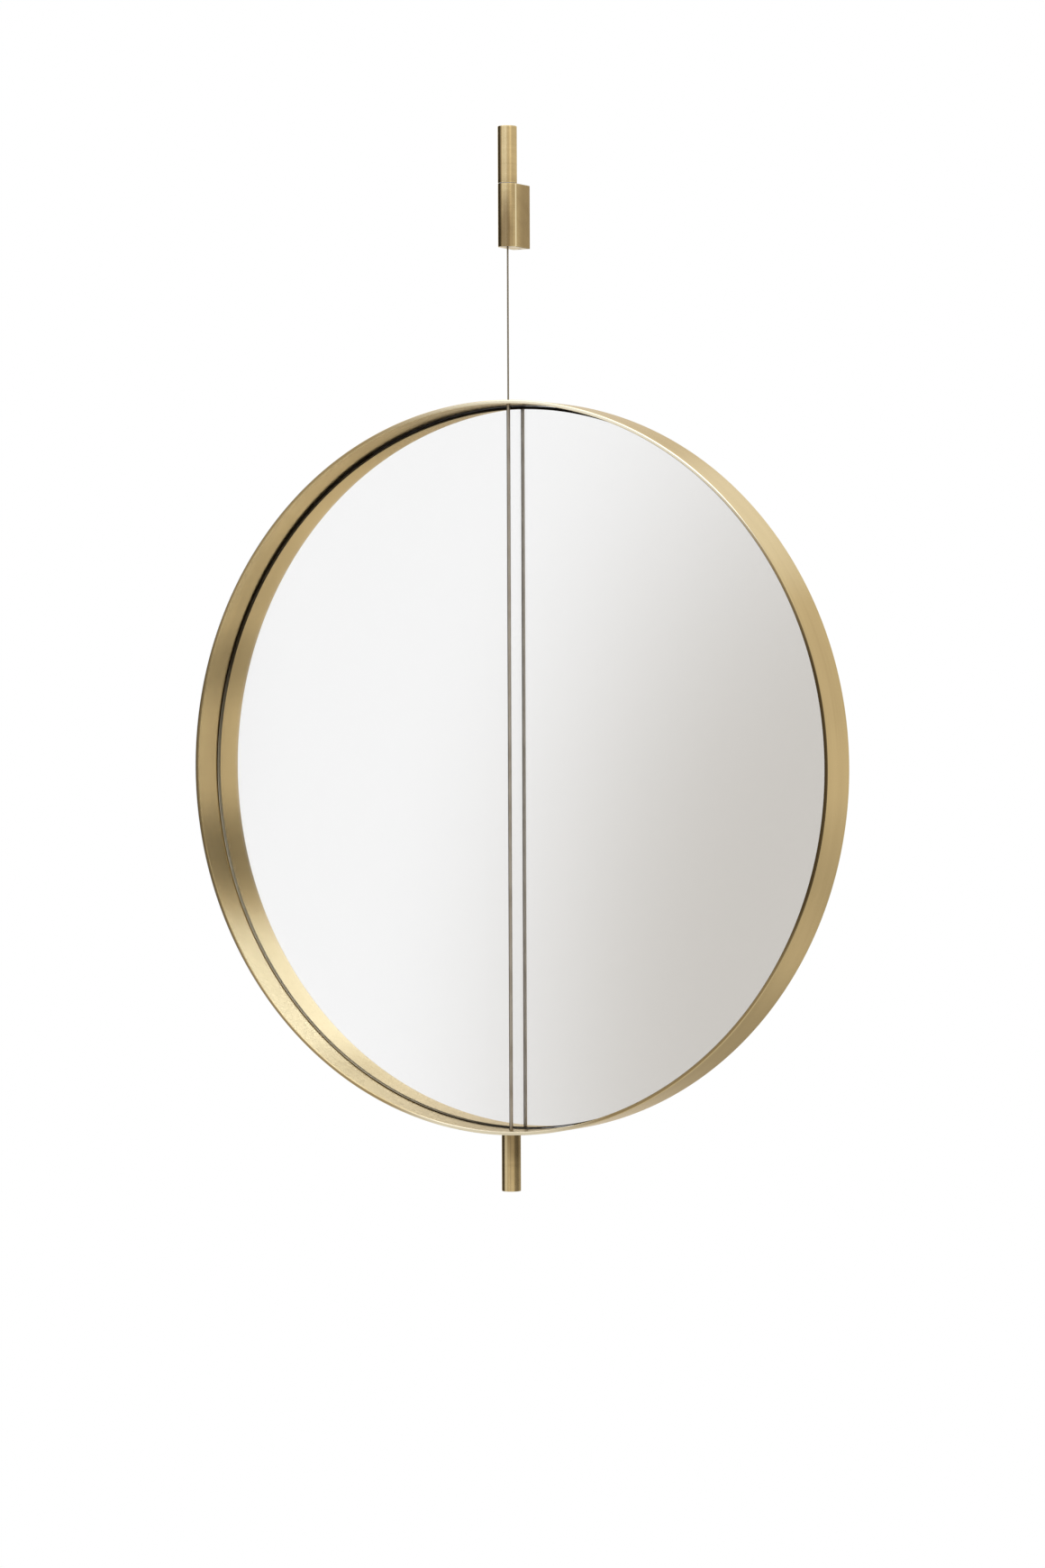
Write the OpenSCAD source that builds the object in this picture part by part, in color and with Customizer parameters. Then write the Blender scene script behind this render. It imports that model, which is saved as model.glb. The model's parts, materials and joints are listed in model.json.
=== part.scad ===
// Round pivot wall mirror.
// A disc of mirror glass sits in a deep brass hoop. A steel cable runs down the hoop's
// diameter, in front of the glass, from a small wall bracket to a brass bob under the hoop.
// The hoop rests on the bob and turns about the cable.
//
// Frame: millimetres, +Z up, the mirror faces -Y and the wall is the plane y = 0.
// The origin is the middle of the bracket's back face, where it lies against the wall.

/* [Hoop] */
// Outside diameter of the hoop
hoop_d = 800; // [500:10:1200]
// Depth of the hoop, from its front rim to its back rim
hoop_depth = 52; // [48:1:80]
// Thickness of the rolled brass strip
hoop_t = 4; // [3:0.5:8]
// Bevel along the four edges of the rims
hoop_bevel = 0.4; // [0.2:0.1:1]
// How far behind the front rim the cable runs
cable_setback = 25; // [20:1:30]
// Air gap between the hoop's back rim and the wall
wall_gap = 3; // [2:1:20]

/* [Mirror glass and its backing] */
// Thickness of the mirror glass
glass_t = 4; // [3:1:6]
// Shadow gap all round, between the glass and the hoop
glass_gap = 2; // [0.5:0.1:3]
// Ground bevel on the front edge of the glass
glass_bevel = 0.4; // [0.2:0.1:1]
// Thickness of the adhesive strips between glass and panel
tape_t = 1; // [0.5:0.1:2]
// Width of one adhesive strip
tape_w = 25; // [12:1:40]
// How many adhesive strips
tape_count = 5; // [3:1:7]
// How far the adhesive strips stop short of the panel's edge
tape_edge = 20; // [10:1:40]
// Thickness of the backing panel
panel_t = 3; // [3:0.5:6]
// Gap all round, between the backing panel and the hoop
panel_gap = 0.5; // [0.3:0.1:3]
// Space left behind the lugs, up to the hoop's back rim
back_recess = 4; // [3:0.5:8]

/* [Lugs that carry the panel] */
// How many lugs
lug_count = 6; // [3:1:10]
// Width of a lug, along the hoop
lug_w = 24; // [16:1:40]
// Length of a lug, towards the hoop's centre
lug_l = 18; // [14:1:30]
// Thickness of a lug
lug_t = 2; // [1.5:0.5:4]
// Diameter of the panel screws
panel_screw_d = 3.5; // [3:0.5:5]
// Diameter of the panel screws' heads
panel_screw_head_d = 7; // [6.5:0.5:10]
// Height of the panel screws' heads
panel_screw_head_h = 2; // [1.5:0.1:2.5]
// How far the panel screws go into the panel
panel_screw_bite = 2.2; // [1.5:0.1:2.5]
// Width across flats of the panel screws' sockets
panel_screw_socket = 2.5; // [2:0.1:3]

/* [Cable] */
// Diameter of the steel cable
cable_d = 2; // [1.5:0.1:3]
// Bare cable between the bracket and the hoop
cable_drop = 168; // [60:1:400]
// Outside diameter of the sleeve around the cable, inside the hoop
sleeve_d = 4; // [3.6:0.1:5]
// Diameter of the swaged stop on the cable's lower end
stop_d = 5; // [4:0.5:6]
// Length of the swaged stop
stop_l = 12; // [8:1:16]
// Diameter of the crimped ferrule on the cable's upper end
ferrule_d = 3.4; // [2.6:0.1:4]
// Length of the crimped ferrule
ferrule_l = 8; // [5:1:12]

/* [Terminal and bob] */
// Diameter of the terminal, of the bob and of the bracket's round front
rod_d = 21; // [18:1:30]
// Length of the terminal above the bracket, and of the bob below the hoop
rod_l = 62; // [50:1:90]
// Bevel around the ends of the rods and of the bracket
rod_bevel = 0.4; // [0.2:0.1:1]
// Diameter of the spigot on which the terminal swivels
spigot_d = 10; // [8:0.5:12]
// Length of the spigot
spigot_l = 13; // [8:1:20]
// Diameter of the hollow for the cable's end, in the terminal and the bob
hollow_d = 8; // [7:0.5:12]
// Depth of that hollow, behind the cap
hollow_l = 18; // [13:1:24]
// Thickness of the flush caps that close the rods
cap_t = 3; // [2:0.5:5]
// Diameter of the grub screws that grip the cable
clamp_screw_d = 4; // [3:0.5:5]
// Length of those grub screws
clamp_screw_l = 6; // [4:0.5:7]
// Distance between the two grub screws in the terminal
clamp_pitch = 12; // [8:1:16]
// Width across flats of the grub screws' sockets
clamp_screw_socket = 2; // [1.5:0.1:2]

/* [Wall bracket] */
// Height of the bracket
bracket_h = 69; // [55:1:100]
// Thickness of the bracket's side walls around the wall plate
bracket_wall = 3; // [2:0.5:5]
// Thickness of the bracket above and below the wall plate
bracket_end = 4.2; // [3.5:0.1:7]
// Thickness of the wall plate
plate_t = 8; // [6:0.5:10]
// Height of the hook along the wall plate's top edge
hook_h = 1.6; // [1:0.1:2]
// Thickness of that hook
hook_t = 3; // [2:0.5:4]
// Diameter of the wall plate's screw holes
wall_screw_d = 4.5; // [3.5:0.1:5]
// Diameter of the countersinks for the wall screws' heads
wall_screw_head_d = 9; // [8:0.1:10]
// Distance from the wall plate's ends to the screw holes
wall_screw_edge = 10; // [8:1:14]
// Diameter of the grub screw that locks the bracket on the wall plate
lock_screw_d = 4; // [3:0.5:5]
// How far the lock screw reaches into the wall plate
lock_screw_bite = 1.8; // [1:0.1:3]
// Length of the bush where the cable leaves the bracket
guide_l = 8; // [5:1:12]

/* [Bushes and washers] */
// Outside diameter of the bushes' shanks
bush_d = 6; // [5:0.5:8]
// Diameter of the hoop bushes' flanges
flange_d = 12; // [9:1:16]
// Thickness of the hoop bushes' flanges
flange_t = 0.8; // [0.5:0.1:2]
// Thickness of the thrust washers
washer_t = 0.4; // [0.3:0.1:1]
// How far the swivel washer's edge stays inside the rod's
washer_inset = 0.5; // [0.2:0.1:2]

/* [Clearances] */
// Radial clearance of parts that turn on each other
run_gap = 0.05; // [0.02:0.01:0.1]
// Radial clearance of pressed, glued and screwed parts
fit_gap = 0.05; // [0.02:0.01:0.1]
// Radial clearance around the cable where nothing guides it
cable_gap = 0.3; // [0.2:0.05:0.4]
// Clearance between the wall plate and the bracket
plate_gap = 0.3; // [0.2:0.05:0.5]

/* [Hidden] */

brass = [0.73, 0.64, 0.45];
bronze = [0.62, 0.48, 0.30];
steel = [0.62, 0.61, 0.58];
silver = [0.90, 0.91, 0.92];
fine = 64;
round_fine = 240;
overcut = 1;

// Depths inside the hoop, counted back from its front rim
hoop_r = hoop_d / 2;
hoop_inner_r = hoop_r - hoop_t;
lug_back = hoop_depth - back_recess;
panel_back = lug_back - lug_t;
tape_back = panel_back - panel_t;
glass_back = tape_back - tape_t;
glass_front = glass_back - glass_t;
glass_r = hoop_inner_r - glass_gap;
panel_r = hoop_inner_r - panel_gap;
screw_circle_r = hoop_inner_r - lug_l / 2;

// The cable's line, and the heights along it
standoff = hoop_depth - cable_setback + wall_gap;
bracket_top = bracket_h / 2;
bracket_bottom = -bracket_h / 2;
terminal_bottom = bracket_top + washer_t;
terminal_top = terminal_bottom + rod_l;
hoop_top = bracket_bottom - cable_drop;
hoop_z = hoop_top - hoop_r;
hoop_bottom = hoop_z - hoop_r;
bob_top = hoop_bottom - flange_t - washer_t;
bob_bottom = bob_top - rod_l;

// The cable's ends, each in the hollow of its rod
terminal_floor = terminal_top - cap_t - hollow_l;
bob_ceiling = bob_bottom + cap_t + hollow_l;
hollow_spare = (hollow_l - ferrule_l) / 2;
cable_top = terminal_floor + ferrule_l + hollow_spare;
cable_bottom = bob_ceiling - stop_l;
guided_bore = cable_d + 2 * run_gap;
free_bore = cable_d + 2 * cable_gap;

// Wall plate and its pocket
plate_w = rod_d - 2 * (bracket_wall + plate_gap);
plate_h = bracket_h - 2 * (bracket_end + plate_gap);
wall_screw_spacing = plate_h - 2 * wall_screw_edge;
lock_screw_y = -plate_t / 2;
lock_screw_recess = 0.3;
lock_hole_spare = 1;
passage = free_bore + 1;

// Sockets and seats that the screws share
socket_depth = 1.2;
hex_corners = 2 / sqrt(3);
clamp_z_bob = bob_top - rod_l / 3;
clamp_z_terminal = terminal_bottom + rod_l / 3;

// Puts children on the cable's line, at height z
module on_cable(z) {
    translate([0, -standoff, z]) children();
}

// Turns children so that their z runs back through the hoop, from its front rim
module in_hoop(depth) {
    translate([0, -standoff - cable_setback + depth, hoop_z]) rotate([-90, 0, 0]) children();
}

// A round bar with bevelled ends
module bar(d, h, bevel) {
    rotate_extrude($fn = fine)
        polygon([
            [0, 0], [d / 2 - bevel, 0], [d / 2, bevel],
            [d / 2, h - bevel], [d / 2 - bevel, h], [0, h]
        ]);
}

// A plain ring or tube
module tube(d, bore, h) {
    difference() {
        cylinder(d = d, h = h, $fn = fine);
        translate([0, 0, -overcut]) cylinder(d = bore, h = h + 2 * overcut, $fn = fine);
    }
}

// A grub screw whose socket is at z = 0 and whose tip is at z = l
module grub_screw(d, l) {
    difference() {
        cylinder(d = d, h = l, $fn = fine);
        translate([0, 0, -overcut])
            cylinder(d = clamp_screw_socket * hex_corners, h = socket_depth + overcut, $fn = 6);
    }
}

// A hole from the cable's line out through the back of a rod, for a grub screw
module clamp_hole(z) {
    on_cable(z) rotate([-90, 0, 0]) cylinder(d = clamp_screw_d + 2 * fit_gap, h = rod_d, $fn = fine);
}

// A grub screw in that hole, with its tip against the cable
module clamp_screw(z) {
    tip = cable_d / 2 + fit_gap;
    on_cable(z)
        translate([0, tip + clamp_screw_l, 0])
            rotate([90, 0, 0])
                grub_screw(clamp_screw_d, clamp_screw_l);
}

// A flanged bush, its shank filling the hoop's wall below z = 0 and its flange above
module flanged_bush() {
    difference() {
        union() {
            translate([0, 0, -hoop_t]) cylinder(d = bush_d, h = hoop_t, $fn = fine);
            cylinder(d = flange_d, h = flange_t, $fn = fine);
        }
        translate([0, 0, -hoop_t - overcut])
            cylinder(d = guided_bore, h = hoop_t + flange_t + 2 * overcut, $fn = fine);
    }
}

// Centres of the panel screws, one to a lug
module at_each_lug() {
    for (i = [0 : lug_count - 1])
        rotate([0, 0, i * 360 / lug_count])
            translate([screw_circle_r, 0, 0])
                children();
}

// ---- Wall bracket ----

// The bracket's block: round in front, straight sides back to the wall, ends bevelled all round
module bracket_block() {
    on_cable(bracket_bottom) bar(rod_d, bracket_h, rod_bevel);
    rotate([90, 0, 0])
        linear_extrude(standoff)
            polygon([
                [-rod_d / 2, bracket_bottom + rod_bevel], [-rod_d / 2 + rod_bevel, bracket_bottom],
                [rod_d / 2 - rod_bevel, bracket_bottom], [rod_d / 2, bracket_bottom + rod_bevel],
                [rod_d / 2, bracket_top - rod_bevel], [rod_d / 2 - rod_bevel, bracket_top],
                [-rod_d / 2 + rod_bevel, bracket_top], [-rod_d / 2, bracket_top - rod_bevel]
            ]);
}

// Steel plate that is screwed to the wall, with a hook along its top edge
module wall_plate() {
    color(steel)
        difference() {
            union() {
                translate([-plate_w / 2, -plate_t, -plate_h / 2]) cube([plate_w, plate_t, plate_h]);
                translate([-plate_w / 2, -plate_t, plate_h / 2 - overcut])
                    cube([plate_w, hook_t, hook_h + overcut]);
            }
            for (side = [-1, 1])
                translate([0, 0, side * wall_screw_spacing / 2])
                    rotate([90, 0, 0]) {
                        translate([0, 0, -overcut])
                            cylinder(d = wall_screw_d, h = plate_t + 2 * overcut, $fn = fine);
                        translate([0, 0, plate_t - (wall_screw_head_d - wall_screw_d) / 2])
                            cylinder(
                                d1 = wall_screw_d,
                                d2 = wall_screw_head_d + 2 * overcut,
                                h = (wall_screw_head_d - wall_screw_d) / 2 + overcut,
                                $fn = fine
                            );
                    }
            translate([0, lock_screw_y, -plate_h / 2 - overcut])
                cylinder(
                    d = lock_screw_d + 2 * fit_gap,
                    h = lock_screw_bite + lock_hole_spare + overcut,
                    $fn = fine
                );
        }
}

// Brass block over the wall plate, which the terminal stands on
module bracket_body() {
    color(brass)
        difference() {
            bracket_block();
            // Pocket for the wall plate
            translate([-plate_w / 2 - plate_gap, -plate_t - plate_gap, -plate_h / 2 - plate_gap])
                cube([plate_w + 2 * plate_gap, plate_t + plate_gap + overcut, plate_h + 2 * plate_gap]);
            // Groove for the plate's hook
            translate([-plate_w / 2 - plate_gap, -plate_t - plate_gap, plate_h / 2])
                cube([plate_w + 2 * plate_gap, hook_t + 2 * plate_gap, hook_h + plate_gap]);
            // Bearing for the terminal's spigot
            on_cable(bracket_top - spigot_l - plate_gap)
                cylinder(d = spigot_d + 2 * run_gap, h = spigot_l + plate_gap + overcut, $fn = fine);
            // Passage for the cable
            on_cable(bracket_bottom)
                cylinder(d = passage, h = bracket_h - spigot_l, $fn = fine);
            // Seat of the guide bush
            on_cable(bracket_bottom - overcut)
                cylinder(d = bush_d + 2 * fit_gap, h = guide_l + overcut, $fn = fine);
            // Hole for the lock screw
            translate([0, lock_screw_y, bracket_bottom - overcut])
                cylinder(d = lock_screw_d + 2 * fit_gap, h = bracket_end + 2 * overcut, $fn = fine);
        }
}

// Grub screw that goes up through the bracket's underside into the wall plate
module bracket_lock_screw() {
    length = bracket_end + plate_gap + lock_screw_bite - lock_screw_recess;
    color(steel)
        translate([0, lock_screw_y, bracket_bottom + lock_screw_recess])
            grub_screw(lock_screw_d, length);
}

// Bush where the cable leaves the bracket's underside
module cable_guide_bush() {
    color(bronze) on_cable(bracket_bottom) tube(bush_d, free_bore, guide_l);
}

// Thin washer between the terminal and the bracket
module swivel_washer() {
    color(silver)
        on_cable(bracket_top)
            tube(rod_d - 2 * washer_inset, spigot_d + 2 * cable_gap, washer_t);
}

// ---- Cable, its terminal above and its bob below ----

// Brass rod that stands on the bracket and grips the cable's upper end
module top_terminal() {
    color(brass)
        difference() {
            union() {
                on_cable(terminal_bottom) bar(rod_d, rod_l, rod_bevel);
                on_cable(bracket_top - spigot_l)
                    cylinder(d = spigot_d, h = spigot_l + washer_t + rod_bevel, $fn = fine);
            }
            on_cable(bracket_top - spigot_l - overcut)
                cylinder(d = free_bore, h = spigot_l + rod_l, $fn = fine);
            on_cable(terminal_floor)
                cylinder(d = hollow_d, h = hollow_l + cap_t + overcut, $fn = fine);
            for (side = [-1, 1]) clamp_hole(clamp_z_terminal + side * clamp_pitch / 2);
        }
}

// Two grub screws at the back of the terminal
module terminal_clamp_screws() {
    color(steel) for (side = [-1, 1]) clamp_screw(clamp_z_terminal + side * clamp_pitch / 2);
}

// Disc that closes the top of the terminal
module terminal_cap() {
    color(brass)
        on_cable(terminal_top - cap_t)
            cylinder(d = hollow_d - 2 * fit_gap, h = cap_t, $fn = fine);
}

// Ferrule crimped on the cable's upper end
module cable_end_ferrule() {
    color(steel) on_cable(cable_top - ferrule_l) tube(ferrule_d, cable_d + 2 * fit_gap, ferrule_l);
}

// The steel cable, whole, from the terminal to the bob
module cable() {
    color(steel) on_cable(cable_bottom) cylinder(d = cable_d, h = cable_top - cable_bottom, $fn = fine);
}

// Brass rod under the hoop, which carries the mirror
module bob() {
    color(brass)
        difference() {
            on_cable(bob_bottom) bar(rod_d, rod_l, rod_bevel);
            on_cable(bob_bottom - overcut)
                cylinder(d = free_bore, h = rod_l + 2 * overcut, $fn = fine);
            on_cable(bob_bottom - overcut)
                cylinder(d = hollow_d, h = hollow_l + cap_t + overcut, $fn = fine);
            clamp_hole(clamp_z_bob);
        }
}

// Grub screw at the back of the bob
module bob_clamp_screw() {
    color(steel) clamp_screw(clamp_z_bob);
}

// Disc that closes the underside of the bob
module bob_cap() {
    color(brass) on_cable(bob_bottom) cylinder(d = hollow_d - 2 * fit_gap, h = cap_t, $fn = fine);
}

// Stop swaged on the cable's lower end, which holds the bob up
module cable_stop() {
    color(steel) on_cable(cable_bottom) tube(stop_d, cable_d + 2 * fit_gap, stop_l);
}

// Thin washer on which the mirror turns
module bob_washer() {
    color(silver) on_cable(bob_top) tube(flange_d, free_bore, washer_t);
}

// ---- Mirror ----

// Brass strip rolled into a hoop, drilled at top and bottom for the bushes
module hoop() {
    color(brass)
        difference() {
            in_hoop(0)
                rotate_extrude($fn = round_fine)
                    polygon([
                        [hoop_inner_r + hoop_bevel, 0],
                        [hoop_r - hoop_bevel, 0],
                        [hoop_r, hoop_bevel],
                        [hoop_r, hoop_depth - hoop_bevel],
                        [hoop_r - hoop_bevel, hoop_depth],
                        [hoop_inner_r + hoop_bevel, hoop_depth],
                        [hoop_inner_r, hoop_depth - hoop_bevel],
                        [hoop_inner_r, hoop_bevel]
                    ]);
            on_cable(hoop_bottom - overcut)
                cylinder(d = bush_d + 2 * fit_gap, h = hoop_d + 2 * overcut, $fn = fine);
        }
}

// Bush in the top of the hoop, flange outside
module upper_bush() {
    color(bronze) on_cable(hoop_top) flanged_bush();
}

// Bush in the bottom of the hoop, flange outside
module lower_bush() {
    color(bronze) on_cable(hoop_bottom) mirror([0, 0, 1]) flanged_bush();
}

// Tube around the cable, from bush to bush in front of the glass
module cable_sleeve() {
    color(steel)
        on_cable(hoop_bottom + hoop_t)
            tube(sleeve_d, free_bore, hoop_d - 2 * hoop_t);
}

// Disc of silvered glass
module mirror_glass() {
    color(silver)
        in_hoop(glass_front)
            rotate_extrude($fn = round_fine)
                polygon([
                    [0, 0], [glass_r - glass_bevel, 0], [glass_r, glass_bevel],
                    [glass_r, glass_t], [0, glass_t]
                ]);
}

// Upright strips that bond the glass to the panel
module adhesive_strips() {
    reach = panel_r - tape_edge;
    pitch = 2 * reach / tape_count;
    color("white")
        for (i = [0 : tape_count - 1]) {
            x = (i - (tape_count - 1) / 2) * pitch;
            edge = abs(x) + tape_w / 2;
            length = 2 * sqrt(reach * reach - edge * edge);
            in_hoop(glass_back) translate([x - tape_w / 2, -length / 2, 0]) cube([tape_w, length, tape_t]);
        }
}

// Stiff panel behind the glass, with blind holes for its screws
module backing_panel() {
    color([0.16, 0.16, 0.17])
        difference() {
            in_hoop(tape_back) cylinder(r = panel_r, h = panel_t, $fn = round_fine);
            in_hoop(panel_back - panel_screw_bite)
                at_each_lug()
                    cylinder(d = panel_screw_d + 2 * fit_gap, h = panel_screw_bite + overcut, $fn = fine);
        }
}

// Lugs welded inside the hoop, behind the panel
module panel_lugs() {
    color(steel)
        in_hoop(panel_back)
            difference() {
                intersection() {
                    cylinder(r = hoop_inner_r - fit_gap, h = lug_t, $fn = round_fine);
                    at_each_lug() translate([-lug_l / 2, -lug_w / 2, 0]) cube([lug_l + overcut, lug_w, lug_t]);
                }
                at_each_lug()
                    translate([0, 0, -overcut])
                        cylinder(d = panel_screw_d + 2 * cable_gap, h = lug_t + 2 * overcut, $fn = fine);
            }
}

// Screws through the lugs into the panel
module panel_screws() {
    color(steel)
        in_hoop(lug_back)
            at_each_lug()
                difference() {
                    union() {
                        cylinder(d = panel_screw_head_d, h = panel_screw_head_h, $fn = fine);
                        translate([0, 0, -lug_t - panel_screw_bite + fit_gap])
                            cylinder(d = panel_screw_d, h = lug_t + panel_screw_bite, $fn = fine);
                    }
                    translate([0, 0, panel_screw_head_h - socket_depth])
                        cylinder(
                            d = panel_screw_socket * hex_corners,
                            h = socket_depth + overcut,
                            $fn = 6
                        );
                }
}

wall_plate();
bracket_body();
bracket_lock_screw();
cable_guide_bush();
swivel_washer();
top_terminal();
terminal_clamp_screws();
terminal_cap();
cable_end_ferrule();
cable();
bob();
bob_clamp_screw();
bob_cap();
cable_stop();
bob_washer();
hoop();
upper_bush();
lower_bush();
cable_sleeve();
mirror_glass();
adhesive_strips();
backing_panel();
panel_lugs();
panel_screws();
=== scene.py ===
# %% [markdown]
# # A round pivot wall mirror
#
# The object is a disc of mirror glass in a deep hoop of satin brass. A steel cable comes down
# from a small wall bracket, runs across the hoop in front of the glass, and ends in a brass bob
# that the hoop rests on. Nearly all of its looks come from two finishes: brushed brass, and
# glass with silver behind it. Both show the room more than themselves, so the light comes
# before the materials here. All lengths are in metres.

import math

import bmesh
import bpy
import numpy as np
from mathutils import Matrix, Vector
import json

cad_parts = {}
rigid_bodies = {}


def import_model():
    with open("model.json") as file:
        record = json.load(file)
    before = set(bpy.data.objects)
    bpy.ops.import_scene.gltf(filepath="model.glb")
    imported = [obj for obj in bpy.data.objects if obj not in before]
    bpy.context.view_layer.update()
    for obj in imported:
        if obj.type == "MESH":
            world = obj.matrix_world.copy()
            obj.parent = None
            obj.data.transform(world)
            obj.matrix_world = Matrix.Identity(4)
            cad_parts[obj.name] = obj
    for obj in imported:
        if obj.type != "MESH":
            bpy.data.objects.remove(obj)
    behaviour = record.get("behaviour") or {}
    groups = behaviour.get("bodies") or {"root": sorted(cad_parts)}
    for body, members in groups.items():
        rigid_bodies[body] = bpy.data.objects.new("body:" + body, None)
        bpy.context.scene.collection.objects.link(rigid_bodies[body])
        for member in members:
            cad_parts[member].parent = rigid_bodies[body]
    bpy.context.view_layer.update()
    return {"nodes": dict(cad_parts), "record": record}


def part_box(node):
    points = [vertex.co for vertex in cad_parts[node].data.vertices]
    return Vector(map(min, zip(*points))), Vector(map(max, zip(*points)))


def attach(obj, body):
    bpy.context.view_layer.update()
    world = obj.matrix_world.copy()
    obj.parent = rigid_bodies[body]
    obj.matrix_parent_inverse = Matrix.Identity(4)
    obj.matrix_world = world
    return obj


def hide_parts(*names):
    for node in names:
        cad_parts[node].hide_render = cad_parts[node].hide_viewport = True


for thing in list(bpy.data.objects):
    bpy.data.objects.remove(thing)
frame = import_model()

# %% [markdown]
# The pieces made here start from the places of the solids, so that nothing has to be fitted
# by eye. Everything round turns about one of two lines: the cable, which is upright, and the
# hoop's own axis, which points at the viewer. Each line is given by one point on it.

# %% Places that the pieces share
hoop_low, hoop_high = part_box("hoop")
hoop_middle = (hoop_low + hoop_high) / 2
hoop_radius = (hoop_high.z - hoop_low.z) / 2
cable_low, cable_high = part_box("cable")
cable_y = (cable_low.y + cable_high.y) / 2
glass_low, glass_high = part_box("mirror_glass")
glass_radius = (glass_high.z - glass_low.z) / 2
ON_HOOP_AXIS = (0.0, 0.0, hoop_middle.z)
ON_CABLE = (0.0, cable_y, 0.0)
print(f"hoop radius {hoop_radius:.4f}, middle at z {hoop_middle.z:.4f}, cable at y {cable_y:.4f}")

# %% [markdown]
# The camera stands about 4.9 m away, 30 degrees to the right and almost level, behind a long
# lens. Its place could be set with a Track To constraint, but a photograph's own small tilt
# and its off-centre framing are easier to give as three turns: about the upright, about the
# camera's own width, and about its line of sight. The focal length is known in pixels of the
# picture, and a 36 mm sensor along the picture's long side turns it into millimetres.

# %% Camera
FOCAL_PIXELS, LONG_SIDE_PIXELS, SENSOR_MM = 4925.0, 1740.0, 36.0
CAMERA_PLACE = (2.4743, -4.2021, -0.5398)
yaw, pitch, roll = (math.radians(a) for a in (30.507, -0.951, 0.23))
camera = bpy.data.objects.new("camera", bpy.data.cameras.new("camera"))
camera.data.sensor_width = SENSOR_MM
camera.data.lens = SENSOR_MM * FOCAL_PIXELS / LONG_SIDE_PIXELS
camera.data.clip_end = 60.0
camera.matrix_world = (
    Matrix.Translation(CAMERA_PLACE)
    @ Matrix.Rotation(yaw, 4, "Z")
    @ Matrix.Rotation(pitch, 4, "X")
    @ Matrix.Rotation(roll, 4, "Y")
    @ Matrix.Rotation(math.pi / 2, 4, "X")
)
bpy.context.scene.collection.objects.link(camera)
bpy.context.scene.camera = camera
bpy.context.scene.view_settings.view_transform = "Standard"
print(f"lens {camera.data.lens:.1f} mm")

# %% [markdown]
# Three small tools serve every material below. Colours are written as sRGB hex, as a paint chart
# gives them, and the shader wants linear light, so one function converts them. Another makes an
# empty material, and the third adds one node with its settings and its links. Sockets go by
# name, or by number where a node has several of one name. So a Mix node takes two numbers at
# inputs 2 and 3 and gives output 0, and takes two colours at inputs 6 and 7 and gives output 2.


# %% Colour and node tools
def colour(hex_code):
    """Linear RGBA of an sRGB hex colour: each channel c becomes ((c + 0.055) / 1.055) ** 2.4."""
    c = np.array([int(hex_code[i:i + 2], 16) for i in (1, 3, 5)]) / 255
    linear = np.where(c <= 0.04045, c / 12.92, ((c + 0.055) / 1.055) ** 2.4)
    return (*linear.tolist(), 1.0)


def empty_material(name):
    """A material with an empty node tree."""
    material = bpy.data.materials.new(name)
    material.use_nodes = True
    material.node_tree.nodes.clear()
    return material, material.node_tree


def add(tree, kind, links=None, **settings):
    """Adds one node. links maps an input's name or number to a value or another node's output."""
    made = tree.nodes.new(kind)
    for key, value in settings.items():
        setattr(made, key, value)
    for key, value in (links or {}).items():
        if isinstance(value, bpy.types.NodeSocket):
            tree.links.new(value, made.inputs[key])
        else:
            made.inputs[key].default_value = value
    return made


WHITE = "#FFFFFF"
print("white is", colour(WHITE))

# %% [markdown]
# The studio is white all round, as the cut-out picture is. The world is plain white to the
# camera and to every mirror-like or glassy bounce, so brass and glass show the same white that
# surrounds them. Diffuse surfaces get a little less, because the lamps add to it.

# %% World
DIFFUSE_LEVEL = 0.7
world = bpy.data.worlds.new("white_studio")
bpy.context.scene.world = world
world.use_nodes = True
tree = world.node_tree
tree.nodes.clear()
path = add(tree, "ShaderNodeLightPath")
glossy = add(tree, "ShaderNodeMath",
             {0: path.outputs["Is Camera Ray"], 1: path.outputs["Is Glossy Ray"]},
             operation="MAXIMUM")
seen = add(tree, "ShaderNodeMath",
           {0: glossy.outputs[0], 1: path.outputs["Is Transmission Ray"]}, operation="MAXIMUM")
around = add(tree, "ShaderNodeBackground", {"Color": colour(WHITE), "Strength": DIFFUSE_LEVEL})
backdrop = add(tree, "ShaderNodeBackground", {"Color": colour(WHITE), "Strength": 1.0})
mix = add(tree, "ShaderNodeMixShader",
          {0: seen.outputs[0], 1: around.outputs[0], 2: backdrop.outputs[0]})
add(tree, "ShaderNodeOutputWorld", {0: mix.outputs[0]})
print("world nodes:", len(tree.nodes))

# %% [markdown]
# Polished and satin metal is lit with large soft boxes, and shaded with flags: cards that hide
# part of the white room, so that a round bar gets a dark edge. A lamp's power is worked out from
# the brightness its face should show: power = brightness * pi * area. In a reflection that
# brightness comes on top of the white room behind the lamp. Three of the boxes are bluish, which
# takes some of the yellow off the brass where it shines.


# %% Soft boxes
def aim(place, target):
    """The turn that points an object's -Z from place at target."""
    return (Vector(target) - Vector(place)).to_track_quat("-Z", "Y").to_matrix().to_4x4()


def soft_box(name, place, width, height, brightness, shade=WHITE):
    """A rectangular area lamp that faces the mirror. Its face is brightness times its shade."""
    lamp = bpy.data.lights.new(name, "AREA")
    lamp.shape, lamp.size, lamp.size_y = "RECTANGLE", width, height
    lamp.energy = brightness * math.pi * width * height
    lamp.color = colour(shade)[:3]
    box = bpy.data.objects.new(name, lamp)
    box.matrix_world = Matrix.Translation(place) @ aim(place, ON_HOOP_AXIS)
    box.visible_camera = False
    bpy.context.scene.collection.objects.link(box)


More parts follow.
